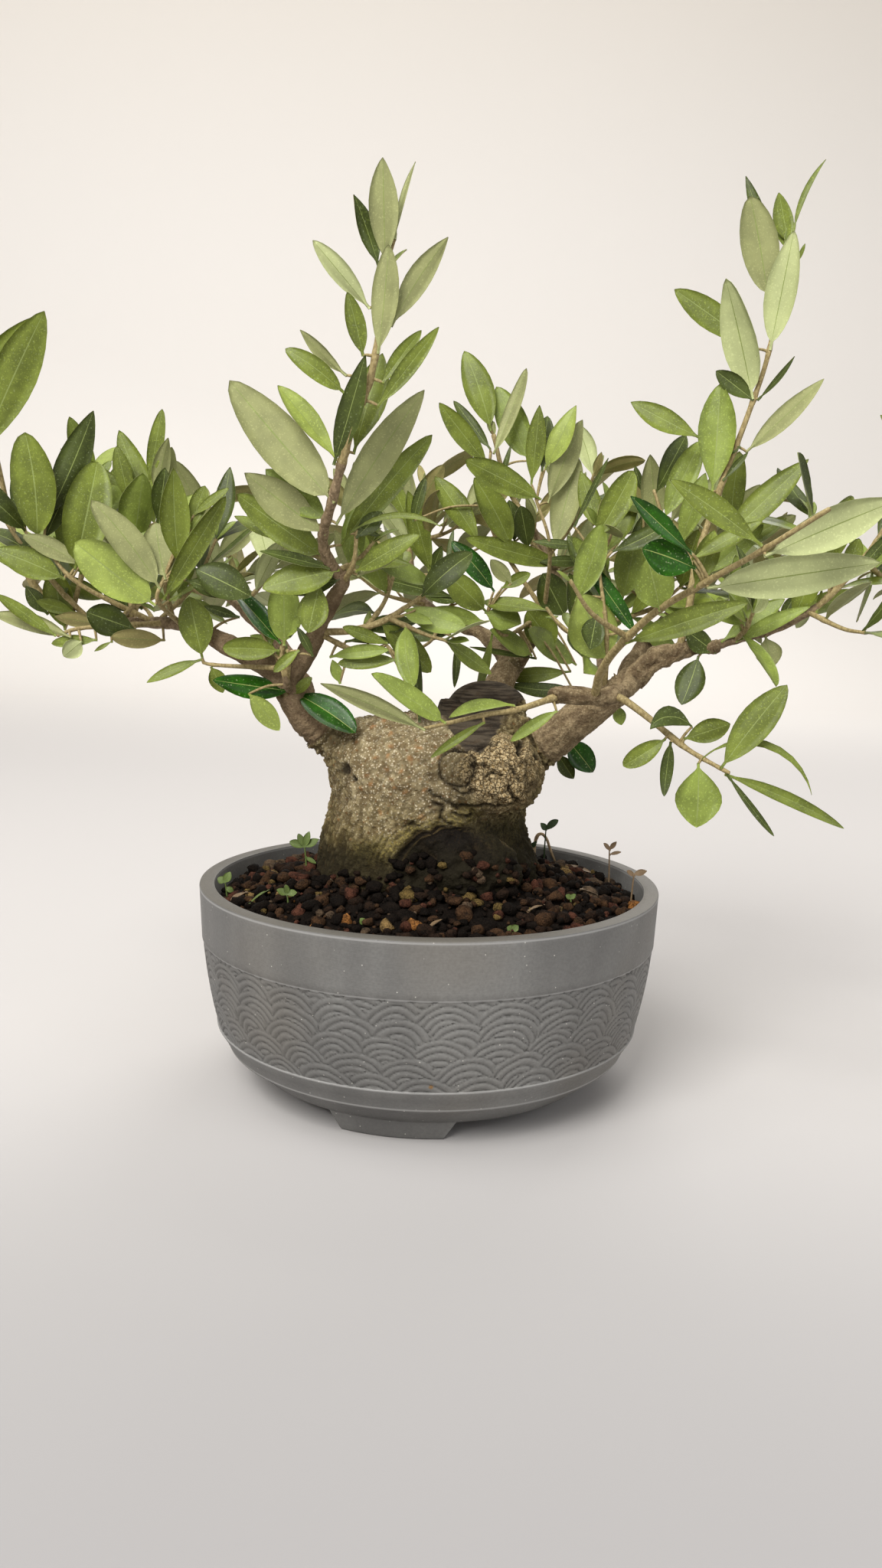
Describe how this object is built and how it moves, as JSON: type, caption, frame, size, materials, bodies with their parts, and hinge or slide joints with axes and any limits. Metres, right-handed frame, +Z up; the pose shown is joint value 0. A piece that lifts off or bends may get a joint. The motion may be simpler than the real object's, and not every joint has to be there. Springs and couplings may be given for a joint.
{
  "type": "potted olive bonsai",
  "caption": "Olive bonsai with a short thick trunk, spreading boughs and upright leafy shoots, in a round grey bowl on feet with a band of wave relief.",
  "frame": {"origin": "middle of the plant's box at the level of the bottom of the pot's feet", "axes": "+X to the plant's right as seen from its front, +Y to its back, +Z up; the front is the side with the round knot on the trunk"},
  "size_m": [0.3284, 0.2498, 0.2969],
  "materials": {
    "pot": "matte, with fine print layers",
    "soil": "rough lava granules",
    "trunk_bark": "rough bark with moss",
    "bough_bark": "rough bark",
    "leaves": "leathery leaf"
  },
  "bodies": {
    "root": {"pot": "pot", "soil": "soil", "trunk": "trunk_bark", "left_bough": "bough_bark", "right_bough": "bough_bark", "back_bough": "bough_bark", "centre_limb": "bough_bark", "back_left_limb": "bough_bark", "front_stub": "bough_bark", "right_back_limb": "bough_bark", "back_limb": "bough_bark", "leader": "leaves", "right_leader": "leaves", "front_spray": "leaves", "drooping_spray": "leaves", "low_front_spray": "leaves", "low_right_spray": "leaves", "right_tip": "leaves", "right_inner": "leaves", "left_crown": "leaves", "left_inner": "leaves", "inner_spray": "leaves", "back_left_crown": "leaves", "back_centre_crown": "leaves", "back_right_crown": "leaves", "right_back_crown": "leaves"}
  },
  "joints": []
}
